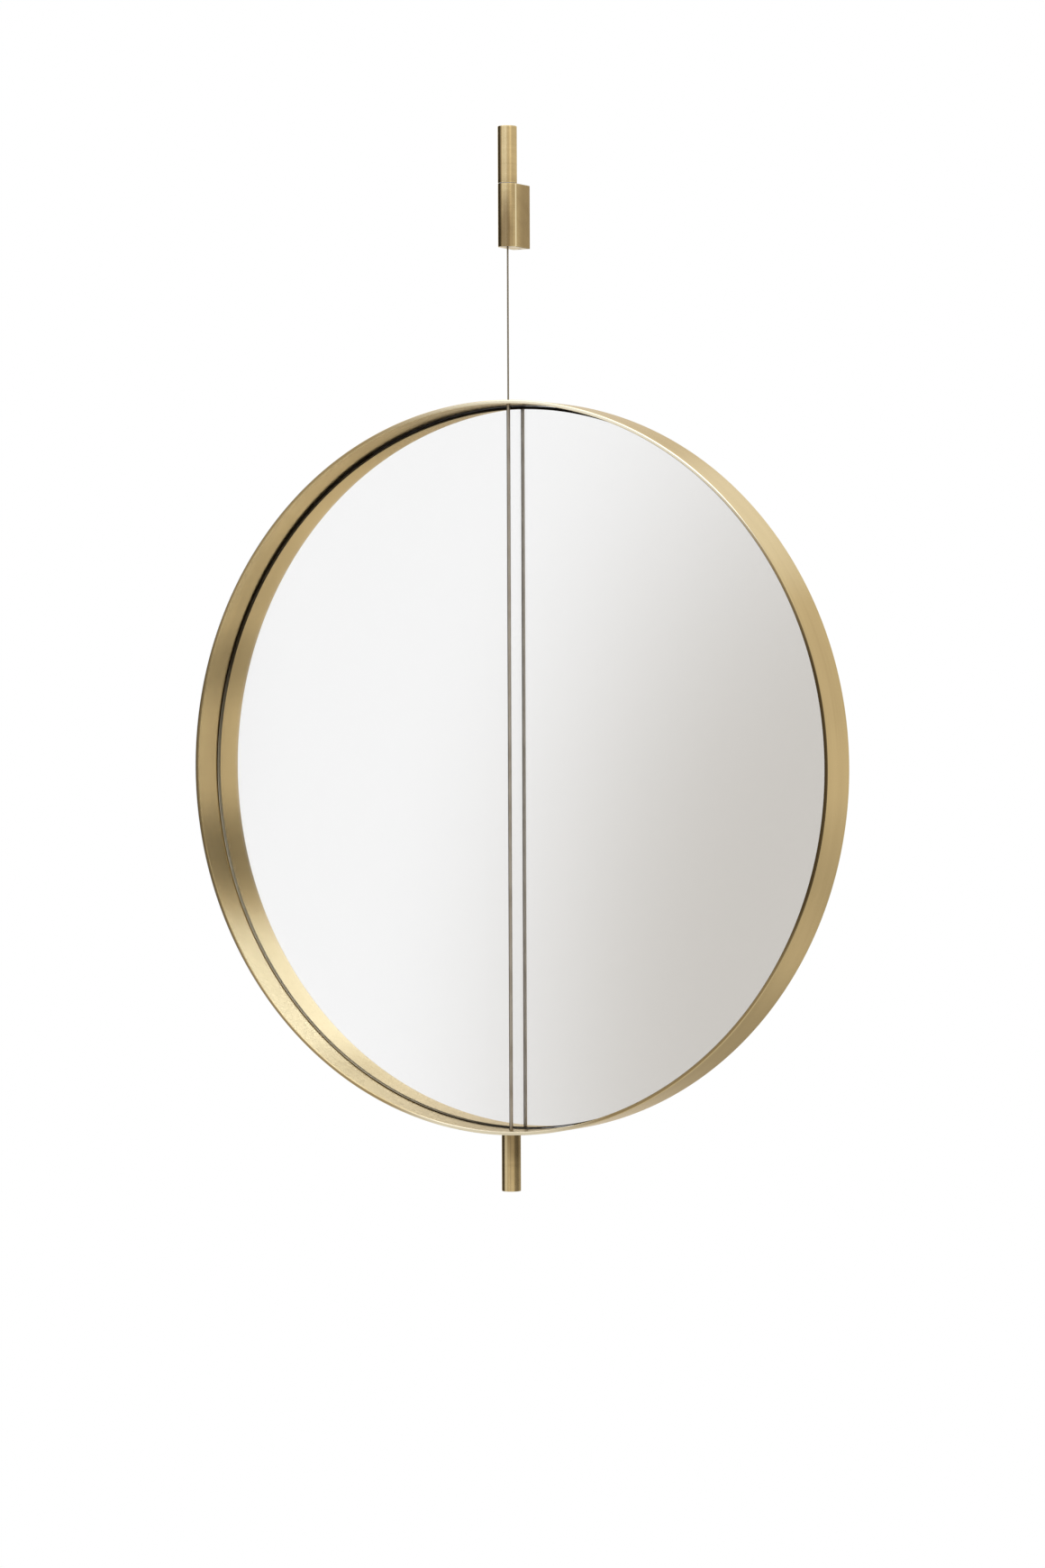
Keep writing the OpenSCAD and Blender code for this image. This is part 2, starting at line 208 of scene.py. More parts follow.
BLUE = "#BAD2FF"
soft_box("overhead_box", (0.0, -0.4, 2.0), 3.0, 2.4, 0.9)
soft_box("rear_high_box", (0.45, 3.0, 1.35), 1.9, 0.9, 0.85, BLUE)
soft_box("front_high_box", (0.30, -3.0, 1.60), 2.1, 1.9, 2.75, BLUE)
soft_box("front_left_box", (-1.45, -3.0, 1.1), 1.2, 1.7, 1.2, BLUE)
soft_box("front_right_box", (2.8, -1.2, 1.0), 1.2, 1.6, 0.65)
soft_box("front_low_box", (-0.6, -2.9, -1.9), 1.4, 0.9, 0.6)

# %% [markdown]
# A flag here is a flat card that gives off an even grey and fades out towards its rim, so its
# reflection has no hard edge. The fade is a smooth fall from full cover to none, mixed with a
# clear shader. Dark cards put the dark zones on the brass, and one large pale card in front
# shades one side of what the mirror shows. Only shiny surfaces and glass see them: they throw
# no shadow and don't light anything matt.


# %% Flags
def card(name, place, width, height, shade, strength=1.0, fade=0.35):
    """A card that faces the mirror. Its cover is strength from the middle out to the share fade
    of the way to the rim, an ellipse, and falls from there to 0 at the rim."""
    corners = np.array([[-1, -1, 0], [1, -1, 0], [1, 1, 0], [-1, 1, 0]])
    mesh = bpy.data.meshes.new(name)
    mesh.from_pydata((corners * [width / 2, height / 2, 0]).tolist(), [], [(0, 1, 2, 3)])
    made = bpy.data.objects.new(name, mesh)
    made.matrix_world = Matrix.Translation(place) @ aim(place, ON_HOOP_AXIS)
    bpy.context.scene.collection.objects.link(made)
    material, tree = empty_material(name)
    here = add(tree, "ShaderNodeTexCoord").outputs["Object"]
    share = add(tree, "ShaderNodeVectorMath", {0: here, 1: (2 / width, 2 / height, 0)},
                operation="MULTIPLY")
    reach = add(tree, "ShaderNodeVectorMath", {0: share.outputs[0]}, operation="LENGTH")
    mask = add(tree, "ShaderNodeMapRange",
               {"Value": reach.outputs["Value"], "From Min": fade, "From Max": 1.0,
                "To Min": strength, "To Max": 0.0}, interpolation_type="SMOOTHERSTEP")
    clear = add(tree, "ShaderNodeBsdfTransparent")
    grey = add(tree, "ShaderNodeEmission", {"Color": colour(shade), "Strength": 1.0})
    both = add(tree, "ShaderNodeMixShader",
               {0: mask.outputs[0], 1: clear.outputs[0], 2: grey.outputs[0]})
    add(tree, "ShaderNodeOutputMaterial", {0: both.outputs[0]})
    mesh.materials.append(material)
    made.visible_camera = False
    made.visible_shadow = False
    made.visible_diffuse = False


card("left_flag", (-2.0, -0.15, -0.5), 4.6, 4.0, "#35322E")
card("right_flag", (2.5, 0.2, -1.45), 4.0, 2.2, "#3A342A", strength=0.75, fade=0.45)
card("right_rear_flag", (2.1, 1.7, -1.5), 2.2, 1.5, "#3A342A", strength=0.6, fade=0.4)
card("rear_flag", (0.45, 2.4, -1.38), 1.6, 0.8, "#3A342A", strength=0.75, fade=0.3)
card("front_flag", (0.53, -1.5, -0.27), 0.74, 0.6, "#16130E", fade=0.3)
card("low_front_flag", (0.48, -1.5, -1.04), 0.66, 0.5, "#16130E", strength=0.8, fade=0.15)
card("rear_low_flag", (0.0, 1.9, -1.95), 2.2, 1.0, "#4A443A", strength=0.48, fade=0.1)
card("mirror_shade", (-0.85, -3.0, -1.2), 2.4, 4.0, "#D0CCC6", strength=0.95, fade=0.3)

# %% [markdown]
# The floor is pale and plain, and as far below the mirror as it would be in a room. It is a
# disc, one ring of points filled with one face, and it ends below the picture's lower edge.

# %% Floor
FLOOR_Z, FLOOR_R, FLOOR_POINTS = -2.1, 2.6, 96
turns = np.linspace(0, 2 * np.pi, FLOOR_POINTS, endpoint=False)
rim = [FLOOR_R * np.cos(turns), FLOOR_R * np.sin(turns), np.full(FLOOR_POINTS, FLOOR_Z)]
floor_mesh = bpy.data.meshes.new("floor")
floor_mesh.from_pydata(np.stack(rim, 1).tolist(), [], [tuple(range(FLOOR_POINTS))])
floor = bpy.data.objects.new("floor", floor_mesh)
bpy.context.scene.collection.objects.link(floor)
material, tree = empty_material("pale_floor")
paint = add(tree, "ShaderNodeBsdfPrincipled", {"Base Color": colour("#F4F2EE"), "Roughness": 0.8})
add(tree, "ShaderNodeOutputMaterial", {0: paint.outputs[0]})
floor_mesh.materials.append(material)
print("floor at", FLOOR_Z)

# %% [markdown]
# All new pieces are skins over a grid of points: rings that follow each other along an outline
# or a path. One function makes the mesh from such a grid. The last ring joins the first where
# the outline is closed; otherwise the first and the last ring are filled with one flat face.
# Blender tells the volume with its sign, and a skin that comes out inside out is turned. A skin
# that stands for a solid hides that solid, and is carried by the given body.


# %% Skin over a grid
def skin(name, points, closed, piece_of=None, body=None):
    """Mesh over points[ring, step]. Quad (i, j) joins rings i and i + 1 between the steps j and
    j + 1. The steps wrap round, and the rings do where closed is true."""
    rings, steps, _ = points.shape
    spans = rings if closed else rings - 1
    i, j = np.meshgrid(np.arange(spans), np.arange(steps), indexing="ij")
    up, right = (i + 1) % rings, (j + 1) % steps
    quads = [i * steps + j, up * steps + j, up * steps + right, i * steps + right]
    faces = np.stack(quads, -1).reshape(-1, 4).tolist()
    if not closed:
        last = (rings - 1) * steps
        faces += [list(range(steps)), list(range(last + steps - 1, last - 1, -1))]
    mesh = bpy.data.meshes.new(name)
    mesh.from_pydata(points.reshape(-1, 3).tolist(), [], faces)
    shell = bmesh.new()
    shell.from_mesh(mesh)
    bmesh.ops.recalc_face_normals(shell, faces=shell.faces)
    if shell.calc_volume(signed=True) < 0:
        bmesh.ops.reverse_faces(shell, faces=shell.faces)
    shell.to_mesh(mesh)
    volume = shell.calc_volume()
    shell.free()
    made = bpy.data.objects.new(name, mesh)
    bpy.context.scene.collection.objects.link(made)
    if piece_of:
        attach(made, body)
        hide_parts(piece_of)
    print(f"{name}: {len(mesh.polygons)} faces, {volume * 1e6:.2f} cm3")
    return made


def smooth(made):
    """Smooth shading, but sharp where two faces meet at more than 28 degrees."""
    made.data.shade_smooth()
    made.data.set_sharp_from_angle(angle=math.radians(28))


# %% [markdown]
# The hoop is a strip of brass, rolled into a ring and welded. A torus with a rectangular section
# would do, but the eye reads the soft corners of the rims, so the section is drawn as a
# rectangle with rounded corners and carried round the axis. On each flat a point stands a
# quarter millimetre off the corner: it keeps the shading of the corner away from the flat wall.
# One more point lies on the inner wall just behind the glass's front, because the painted shade
# of the shadow gap begins there.

# %% Brass hoop
STRIP, RIM_CORNER, LEAD, BEHIND_GLASS_FRONT = 0.004, 0.0011, 0.00025, 0.0003
CORNER_STEPS, HOOP_STEPS = 7, 720


def rounded_section(low, high):
    """Points (y, r) round a rectangle. Its corners are quarter circles, centre + RIM_CORNER *
    (cos a, sin a), each with a point LEAD before it and one LEAD after it."""
    outline = []
    corners = [(high[0], high[1]), (low[0], high[1]), (low[0], low[1]), (high[0], low[1])]
    for k, corner in enumerate(np.array(corners)):
        centre = corner - RIM_CORNER * np.sign(corner - (np.array(low) + high) / 2)
        a = np.pi / 2 * k + np.linspace(0, np.pi / 2, CORNER_STEPS)
        arc = centre + RIM_CORNER * np.stack([np.cos(a), np.sin(a)], 1)
        before = arc[0] + LEAD * np.array([np.sin(a[0]), -np.cos(a[0])])
        after = arc[-1] + LEAD * np.array([-np.sin(a[-1]), np.cos(a[-1])])
        outline += [before, *arc, after]
    return np.array(outline)


def carried_round(outline, steps, shift=(0.0, 0.0)):
    """Point (y, r) goes to (r cos t, y, middle + r sin t) plus the shift in x and z, for each of
    the turns t."""
    t = np.linspace(0, 2 * np.pi, steps, endpoint=False)
    y, r = outline[:, :1], outline[:, 1:]
    x = shift[0] + r * np.cos(t)
    z = hoop_middle.z + shift[1] + r * np.sin(t)
    return np.stack(np.broadcast_arrays(x, y, z), -1)


section = rounded_section((hoop_low.y, hoop_radius - STRIP), (hoop_high.y, hoop_radius))
# The inner wall lies between the third and the fourth corner
painted_shade_start = [glass_low.y + BEHIND_GLASS_FRONT, hoop_radius - STRIP]
section = np.insert(section, len(section) * 3 // 4, painted_shade_start, axis=0)
hoop = skin("brass_hoop", carried_round(section, HOOP_STEPS), True, "hoop", "mirror")

# %% [markdown]
# The cable enters the hoop at the top and leaves it at the bottom, through holes that hold the
# bushes. A Boolean modifier cuts them: two round drills pass through the strip, and the result
# is taken as the hoop's new mesh. Drawing the holes into the grid by hand would be far harder.

# %% Holes for the bushes
BUSH_HOLE, DRILL_STEPS = 0.00305, 48
t = np.linspace(0, 2 * np.pi, DRILL_STEPS, endpoint=False)
for side in (-1, 1):
    ends = np.array([[hoop_radius - 2 * STRIP], [hoop_radius + STRIP]])
    x, y = BUSH_HOLE * np.cos(t), cable_y + BUSH_HOLE * np.sin(t)
    hole = np.stack(np.broadcast_arrays(x, y, hoop_middle.z + side * ends), -1)
    drill = skin("drill", hole, False)
    cut = hoop.modifiers.new("bush_hole", "BOOLEAN")
    cut.operation, cut.solver, cut.object = "DIFFERENCE", "EXACT", drill
depsgraph = bpy.context.evaluated_depsgraph_get()
drilled = bpy.data.meshes.new_from_object(hoop.evaluated_get(depsgraph))
hoop.modifiers.clear()
hoop.data = drilled
for drill in [o for o in bpy.data.objects if o.name.startswith("drill")]:
    bpy.data.objects.remove(drill)
smooth(hoop)
print("hoop after drilling:", len(hoop.data.polygons), "faces")

# %% [markdown]
# A mirror is not a shiny sheet. It is clear glass with a film of silver behind it, and near its
# edge one looks through the glass at that edge, which gives the dark double line round a mirror.
# A single metallic disc can't show that, so the glass is a slab that light passes through, and
# the silver a thin disc behind it, with a sliver of air between them so that their faces don't
# meet. The glass is bonded in where it came to rest, low and to the left in its 2 mm of slack,
# so the shadow gap is widest at the upper right and nearly closed at the lower left.

# %% Glass and silver
RIM_MARGIN, BEVEL, BORDER, FILM_INSET = 0.0001, 0.0002, 0.0007, 0.0002
AIR, FILM, BACK_MARGIN = 0.00004, 0.00007, 0.00002
POLE_R, GLASS_STEPS = 0.001, 360
SLACK = (-0.00136, -0.00102)
GLASS_R = glass_radius - RIM_MARGIN
FILM_R = GLASS_R - FILM_INSET
glass_middle = (SLACK[0], 0.0, hoop_middle.z + SLACK[1])
film_back = glass_high.y - BACK_MARGIN
film_front = film_back - FILM
front, back = glass_low.y, film_front - AIR
slab = [(front, POLE_R), (front, GLASS_R - BORDER), (front, GLASS_R - BEVEL),
        (front + BEVEL, GLASS_R), (back, GLASS_R), (back, POLE_R)]
film = [(film_front, POLE_R), (film_front, FILM_R), (film_back, FILM_R), (film_back, POLE_R)]
glass = skin("clear_glass", carried_round(np.array(slab), GLASS_STEPS, SLACK), False,
             "mirror_glass", "mirror")
silver = skin("silver_film", carried_round(np.array(film), GLASS_STEPS, SLACK), False,
              "mirror_glass", "mirror")
smooth(glass)
smooth(silver)

# %% [markdown]
# The cable is a wire rope: six strands laid in a helix round a seventh. A helix per strand
# would need a hundred thousand faces that nobody sees. Instead the outline of the whole rope is
# one curve with six lobes, which turns as it goes down, once in 12.5 mm. The rings are close
# together only where the rope is bare, from just inside the bracket to just inside the hoop.
# Elsewhere it is hidden, and one ring for each full turn is enough.

# %% Wire rope
cable_radius = (cable_high.x - cable_low.x) / 2
STRAND, STRAND_OUT = cable_radius / 3, cable_radius * 2 / 3
LAY, WIRE_LAY, WIRE_DENT = 0.0125, 0.0065, 0.035 * cable_radius
RING_GAP, ROPE_STEPS = 0.00045, 72
INTO_BRACKET, INTO_HOOP = 0.0045, 0.0025
bare_top, bare_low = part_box("bracket_body")[0].z + INTO_BRACKET, hoop_high.z - INTO_HOOP


def rope(heights):
    """Ring at height z. At an angle a from its strand's middle, r = c cos a + sqrt(s ** 2 -
    (c sin a) ** 2), where s is the strand's radius and c its distance from the rope's middle.
    Small dents between the wires come off r, and the ring is turned once in each lay."""
    t = np.linspace(0, 2 * np.pi, ROPE_STEPS, endpoint=False)
    z = np.asarray(heights)[:, None]
    a = (t + np.pi / 6) % (np.pi / 3) - np.pi / 6 + 0 * z
    r = STRAND_OUT * np.cos(a)
    r = r + np.sqrt(np.maximum(STRAND ** 2 - (STRAND_OUT * np.sin(a)) ** 2, 0))
    round_strand = np.arcsin(np.clip(r * np.sin(a) / STRAND, -1, 1))
    r -= WIRE_DENT * (1 - np.abs(np.cos(3 * (round_strand + 2 * np.pi * z / WIRE_LAY))))
    turn = t + 2 * np.pi * z / LAY
    x, y = r * np.cos(turn), cable_y + r * np.sin(turn)
    return np.stack(np.broadcast_arrays(x, y, z), -1)


bare = np.arange(bare_top, bare_low, -RING_GAP)
above = bare_top + LAY * np.arange(int((cable_high.z - bare_top) / LAY), 0, -1)
below = bare[-1] - LAY * np.arange(1, int((bare[-1] - cable_low.z) / LAY) + 1)
heights = np.concatenate([[cable_high.z], above, bare, below, [cable_low.z]])
cable = skin("wire_rope", rope(heights), False, "cable", "suspension")
smooth(cable)

# %% [markdown]
# Metal that was turned or brushed carries fine lines round an axis. Three helpers serve all such
# finishes. The first gives the place of a point relative to the axis. The second makes a vector
# in which plain noise turns into lines: slow along the turn, fast in height and in radius, so the
# lines run round a curved side and make rings on a flat end. The third gives the direction for
# anisotropy: a lined metal smears what it mirrors across its lines. A brushed look could also
# come from bump alone, but lines this fine are far below one pixel. A last helper ends each
# finish in the same way, with a bump, the Principled shader and the output.


# %% Helpers for lined metal
def about_axis(tree, centre, axis):
    """Object coordinates, height along the axis, the arm from the axis turned a quarter round
    it, and the arm's length."""
    here = add(tree, "ShaderNodeTexCoord").outputs["Object"]
    local = add(tree, "ShaderNodeVectorMath", {0: here, 1: centre}, operation="SUBTRACT")
    local = local.outputs[0]
    height = add(tree, "ShaderNodeVectorMath", {0: local, 1: axis}, operation="DOT_PRODUCT")
    arm = add(tree, "ShaderNodeVectorMath", {0: local, 1: axis}, operation="CROSS_PRODUCT")
    radius = add(tree, "ShaderNodeVectorMath", {0: arm.outputs[0]}, operation="LENGTH")
    return here, height.outputs["Value"], arm.outputs[0], radius.outputs["Value"]


def lines_round(tree, height, arm, radius, axis, streak, pitch):
    """arm / streak + axis * (height + radius) / pitch"""
    across = add(tree, "ShaderNodeMath", {0: height, 1: radius}).outputs[0]
    along = add(tree, "ShaderNodeVectorMath", {0: arm, 3: 1 / streak}, operation="SCALE")
    lift = add(tree, "ShaderNodeVectorMath", {0: tuple(a / pitch for a in axis), 3: across},
               operation="SCALE")
    return add(tree, "ShaderNodeVectorMath", {0: along.outputs[0], 1: lift.outputs[0]}).outputs[0]


def smear(tree, way):
    """Cross product of the lines' way, turned to world axes, and the surface normal."""
    turned = add(tree, "ShaderNodeVectorTransform", {0: way}, convert_from="OBJECT",
                 convert_to="WORLD", vector_type="VECTOR").outputs[0]
    normal = add(tree, "ShaderNodeNewGeometry").outputs["Normal"]
    across = add(tree, "ShaderNodeVectorMath", {0: turned, 1: normal}, operation="CROSS_PRODUCT")
    return across.outputs[0]


def close(tree, shade, gloss, relief, strength, depth, **more):
    """Ends a material: a bump of that depth in metres, the Principled shader and the output."""
    bump = add(tree, "ShaderNodeBump",
               {"Strength": strength, "Distance": depth, "Height": relief}).outputs[0]
    shader = add(tree, "ShaderNodeBsdfPrincipled",
                 {"Base Color": shade, "Roughness": gloss, "Normal": bump})
    for key, value in more.items():
        socket = shader.inputs[key.replace("_", " ")]
        if isinstance(value, bpy.types.NodeSocket):
            tree.links.new(value, socket)
        else:
            socket.default_value = value
    add(tree, "ShaderNodeOutputMaterial", {0: shader.outputs[0]})


Y_AXIS, Z_AXIS = (0.0, 1.0, 0.0), (0.0, 0.0, 1.0)

# %% [markdown]
# The hoop, the rods and the bracket are brass with a satin finish: drawn past an abrasive belt,
# so fine lines run along the strip and round the rods. Bare brass darkens unevenly, which shows
# as soft clouds, and cloths rub it bright along its edges. A cut end stays duller than the
# brushed side. On top of that, soft ellipsoids of other shades add painted shade and painted
# highlights.

# %% Satin brass
# The aged colour is tarnish in the clouds and on cut ends, and painted shade where the soft
# ellipsoids use it
BRASS_LIGHT, BRASS_DARK, BRASS_TARNISH_AND_SHADE = "#C6AE7E", "#BBA374", "#6E583A"
BRASS_RUBBED, BRASS_GRAZING = "#DCC795", "#F6EEDC"
# Distances from an end, where rubbing begins, where it is full, and where the cut end begins
RUB_FROM, RUB_FULL, CUT_FROM = 0.0018, 0.0005, 0.0003


def satin_brass(name, centre, axis, edge, streak, pitch, clouds, cloud_size, seed=0.0, painted_light_spots=()):
    """Brass with lines round an axis.

    edge: middle and half length along the axis, and dullness of the cut ends.
    streak and pitch: length and distance of the lines.
    clouds and cloud_size: darkness and size of the clouds.
    painted_light_spots: (place, three radii, amount, shade), each a soft ellipsoid of painted
    shade or painted highlight.
    """
    material, tree = empty_material(name)
    here, height, arm, radius = about_axis(tree, centre, axis)
    laid = lines_round(tree, height, arm, radius, axis, streak, pitch)
    lines = add(tree, "ShaderNodeTexNoise",
                {"Vector": laid, "Scale": 1.0, "Detail": 1.0, "Roughness": 0.6})
    broad = add(tree, "ShaderNodeTexNoise", {"Vector": laid, "Scale": 0.13, "Detail": 1.0})
    cloudy = add(tree, "ShaderNodeTexNoise",
                 {"Vector": here, "W": seed, "Scale": 1 / cloud_size, "Detail": 3.0,
                  "Roughness": 0.45}, noise_dimensions="4D")

    # Fine and broad lines vary shade and gloss, and the clouds darken and dull both
    grain = add(tree, "ShaderNodeMix",
                {"Factor": 0.6, 2: lines.outputs["Fac"], 3: broad.outputs["Fac"]})
    grain = add(tree, "ShaderNodeMapRange",
                {"Value": grain.outputs[0], "From Min": 0.3, "From Max": 0.7})
    metal = add(tree, "ShaderNodeMix",
                {"Factor": grain.outputs[0], 6: colour(BRASS_DARK), 7: colour(BRASS_LIGHT)},
                data_type="RGBA")
    stain = add(tree, "ShaderNodeMapRange",
                {"Value": cloudy.outputs["Fac"], "From Min": 0.40, "From Max": 0.68,
                 "To Max": clouds}, interpolation_type="SMOOTHSTEP")
    worn_and_painted_light = add(tree, "ShaderNodeMix",
               {"Factor": stain.outputs[0], 6: metal.outputs[2], 7: colour(BRASS_TARNISH_AND_SHADE)},
               data_type="RGBA")
    gloss = add(tree, "ShaderNodeMapRange",
                {"Value": grain.outputs[0], "To Min": 0.24, "To Max": 0.26})
    gloss = add(tree, "ShaderNodeMath",
                {0: stain.outputs[0], 1: 0.10, 2: gloss.outputs[0]}, operation="MULTIPLY_ADD")

    # Rubbed bright within 2 mm of an end, and left dull on the cut end itself
    middle, half, dull = edge
    off = add(tree, "ShaderNodeMath", {0: height, 1: middle}, operation="SUBTRACT")
    off = add(tree, "ShaderNodeMath", {0: off.outputs[0]}, operation="ABSOLUTE").outputs[0]
    near = add(tree, "ShaderNodeMapRange",
               {"Value": off, "From Min": half - RUB_FROM, "From Max": half - RUB_FULL,
                "To Max": 0.5}, interpolation_type="SMOOTHSTEP")
    worn_and_painted_light = add(tree, "ShaderNodeMix",
               {"Factor": near.outputs[0], 6: worn_and_painted_light.outputs[2], 7: colour(BRASS_RUBBED)},
               data_type="RGBA")
    cut = add(tree, "ShaderNodeMapRange",
              {"Value": off, "From Min": half - CUT_FROM, "From Max": half, "To Max": dull},
              interpolation_type="SMOOTHSTEP")
    worn_and_painted_light = add(tree, "ShaderNodeMix",
               {"Factor": cut.outputs[0], 6: worn_and_painted_light.outputs[2], 7: colour(BRASS_TARNISH_AND_SHADE)},
               data_type="RGBA")
    gloss = add(tree, "ShaderNodeMix", {"Factor": near.outputs[0], 2: gloss.outputs[0], 3: 0.15})

    # Soft ellipsoids of painted shade and painted highlight
    for place, radii, amount, shade in painted_light_spots:
        away = add(tree, "ShaderNodeVectorMath", {0: here, 1: place}, operation="SUBTRACT")
        away = add(tree, "ShaderNodeVectorMath", {0: away.outputs[0], 1: radii},
                   operation="DIVIDE")
        away = add(tree, "ShaderNodeVectorMath", {0: away.outputs[0]}, operation="LENGTH")
        spot = add(tree, "ShaderNodeMapRange",
                   {"Value": away.outputs["Value"], "From Min": 0.35, "To Min": amount,
                    "To Max": 0.0}, interpolation_type="SMOOTHSTEP")
        worn_and_painted_light = add(tree, "ShaderNodeMix",
                   {"Factor": spot.outputs[0], 6: worn_and_painted_light.outputs[2], 7: colour(shade)},
                   data_type="RGBA")
    close(tree, worn_and_painted_light.outputs[2], gloss.outputs[0], lines.outputs["Fac"], strength=0.02,
          depth=0.0001, Metallic=1.0, Anisotropic=0.6, Specular_Tint=colour(BRASS_GRAZING),
          Tangent=smear(tree, arm))
    return material


# %% [markdown]
# On the hoop the lines are drawn 2 mm apart, many times coarser than real ones, because lines
# finer than a pixel only show as sand. Its front rim carries painted shade, brown at the left and
# the right, and painted highlights, cream at the top and the bottom. Each such place is a soft
# spot that reaches only 1.4 mm deep, so it stays on the rim.

# %% Brass of the hoop
# Colours for painted shade and painted highlights on the brass
BRASS_PAINTED_SHADE, BRASS_PAINTED_HIGHLIGHT = "#46371F", "#F4EACF"
RIM_DEEP = 0.0014
# Painted shade at the rim's left and right, painted highlights at its top and bottom
rim_painted_light = [
    ((0.395, hoop_low.y, hoop_middle.z - 0.02), (0.11, RIM_DEEP, 0.30), 0.9, BRASS_PAINTED_SHADE),
    ((-0.40, hoop_low.y, hoop_middle.z - 0.04), (0.13, RIM_DEEP, 0.28), 0.6, BRASS_PAINTED_SHADE),
    ((0.14, hoop_low.y, hoop_middle.z + 0.36), (0.33, RIM_DEEP, 0.20), 0.8, BRASS_PAINTED_HIGHLIGHT),
    ((-0.01, hoop_low.y, hoop_middle.z - 0.40), (0.17, RIM_DEEP, 0.06), 0.75, BRASS_PAINTED_HIGHLIGHT),
]
hoop_half = (hoop_high.y - hoop_low.y) / 2
hoop_brass = satin_brass("satin_brass_strip", ON_HOOP_AXIS, Y_AXIS,
                         edge=(hoop_middle.y, hoop_half, 0.6), streak=0.08, pitch=0.002,
                         clouds=0.10, cloud_size=0.12, painted_light_spots=rim_painted_light)
hoop.data.materials.clear()
hoop.data.materials.append(hoop_brass)
print("finish:", hoop_brass.name)

# %% [markdown]
# On the rods and the bracket the lines are drawn 0.6 mm apart, also coarser than real ones.
# Painted shade darkens the left edges of the bracket and the terminal, the bracket's front and
# its flat right side towards the wall, the bob near its top and at its right edge, and the
# terminal's foot. Painted highlights run down both lines where the bracket's round front meets
# its flat sides, and one down the bob's front. The terminal's foot is a spigot inside the
# bracket, so its visible part begins on the washer.

# %% Brass of the rods and the bracket
# A painted highlight for the rods and the bracket
ROD_PAINTED_HIGHLIGHT = "#F2E2B8"
half_rod = (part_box("bob")[1].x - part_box("bob")[0].x) / 2
bob_top, bracket_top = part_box("bob")[1].z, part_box("bracket_body")[1].z
# Painted shade down the left edges of the bracket and the terminal
left_painted_shade = ((-0.0046, cable_y - 0.0094, 0.0), (0.0045, 0.0045, 0.3), 0.4, BRASS_TARNISH_AND_SHADE)
# Painted shade and painted highlights on the rods: (place, three radii, amount, shade)
rod_painted_light = {
    "bracket_body": [
        left_painted_shade,
        ((0.0036, cable_y - 0.0098, -0.020), (0.0100, 0.012, 0.055), 0.75, BRASS_TARNISH_AND_SHADE),
        ((half_rod, -0.002, 0.0), (0.006, 0.036, 0.15), 0.62, BRASS_TARNISH_AND_SHADE),
        ((half_rod, cable_y, 0.0), (0.004, 0.0018, 0.3), 0.8, ROD_PAINTED_HIGHLIGHT),
        ((-half_rod, cable_y, 0.0), (0.004, 0.0018, 0.3), 0.8, ROD_PAINTED_HIGHLIGHT),
    ],
    "bob": [
        ((0.008, cable_y - 0.004, bob_top), (0.018, 0.022, 0.048), 0.6, BRASS_TARNISH_AND_SHADE),
        ((-0.0006, cable_y - 0.0105, bob_top - 0.03), (0.0032, 0.0032, 0.08), 0.35,
         ROD_PAINTED_HIGHLIGHT),
        ((0.0098, cable_y, bob_top - 0.03), (0.0035, 0.0055, 0.12), 0.25, BRASS_PAINTED_SHADE),
    ],
    "top_terminal": [
        left_painted_shade,
        ((0.0, cable_y, bracket_top), (0.02, 0.02, 0.012), 0.3, BRASS_TARNISH_AND_SHADE),
    ],
}
rod_brass = {}
for piece, clouds, seed in (("top_terminal", 0.12, 0.0), ("bob", 0.3, 3.0),
                            ("bracket_body", 0.25, 5.0)):
    low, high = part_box(piece)
    if piece == "top_terminal":
        low.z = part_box("swivel_washer")[1].z
    rod_brass[piece] = satin_brass("satin_brass_" + piece, ON_CABLE, Z_AXIS,
                                   edge=((low.z + high.z) / 2, (high.z - low.z) / 2, 0.25),
                                   streak=0.012, pitch=0.0006, clouds=clouds,
                                   cloud_size=0.022, seed=seed, painted_light_spots=rod_painted_light[piece])
print("finishes:", [m.name for m in rod_brass.values()])

# %% [markdown]
# Behind the front of the glass the hoop's inner wall is painted matt and almost black brown:
# painted shade that keeps the shadow gap dark. In flecks a little metal shows through it. The
# faces for it are those of the inner wall, by their normals, behind the extra point of the
# section.


# %% Painted shade inside the hoop
def faces_of(mesh):
    """Normals and middles of all faces, each an array with one row for a face."""
    normals, middles = np.zeros((2, len(mesh.polygons) * 3))
    mesh.polygons.foreach_get("normal", normals)
    mesh.polygons.foreach_get("center", middles)
    return normals.reshape(-1, 3), middles.reshape(-1, 3)


FLAKE = 0.003
gap_painted_shade_material, tree = empty_material("painted_shade_in_gap")
here = add(tree, "ShaderNodeTexCoord").outputs["Object"]
scale = add(tree, "ShaderNodeTexNoise", {"Vector": here, "Scale": 1 / FLAKE, "Detail": 4.0})
bare = add(tree, "ShaderNodeMapRange",
           {"Value": scale.outputs["Fac"], "From Min": 0.62, "From Max": 0.75, "To Max": 0.5})
shade = add(tree, "ShaderNodeMix",
            {"Factor": bare.outputs[0], 6: colour("#2B2114"), 7: colour(BRASS_TARNISH_AND_SHADE)},
            data_type="RGBA")
gloss = add(tree, "ShaderNodeMapRange",
            {"Value": scale.outputs["Fac"], "To Min": 0.75, "To Max": 0.5})
close(tree, shade.outputs[2], gloss.outputs[0], scale.outputs["Fac"], strength=0.2,
      depth=0.0001, Metallic=bare.outputs[0], Specular_IOR_Level=0.15)
hoop.data.materials.append(gap_painted_shade_material)
normals, middles = faces_of(hoop.data)
middles -= ON_HOOP_AXIS
inward = (normals * middles)[:, [0, 2]].sum(1) < -0.9 * np.hypot(middles[:, 0], middles[:, 2])
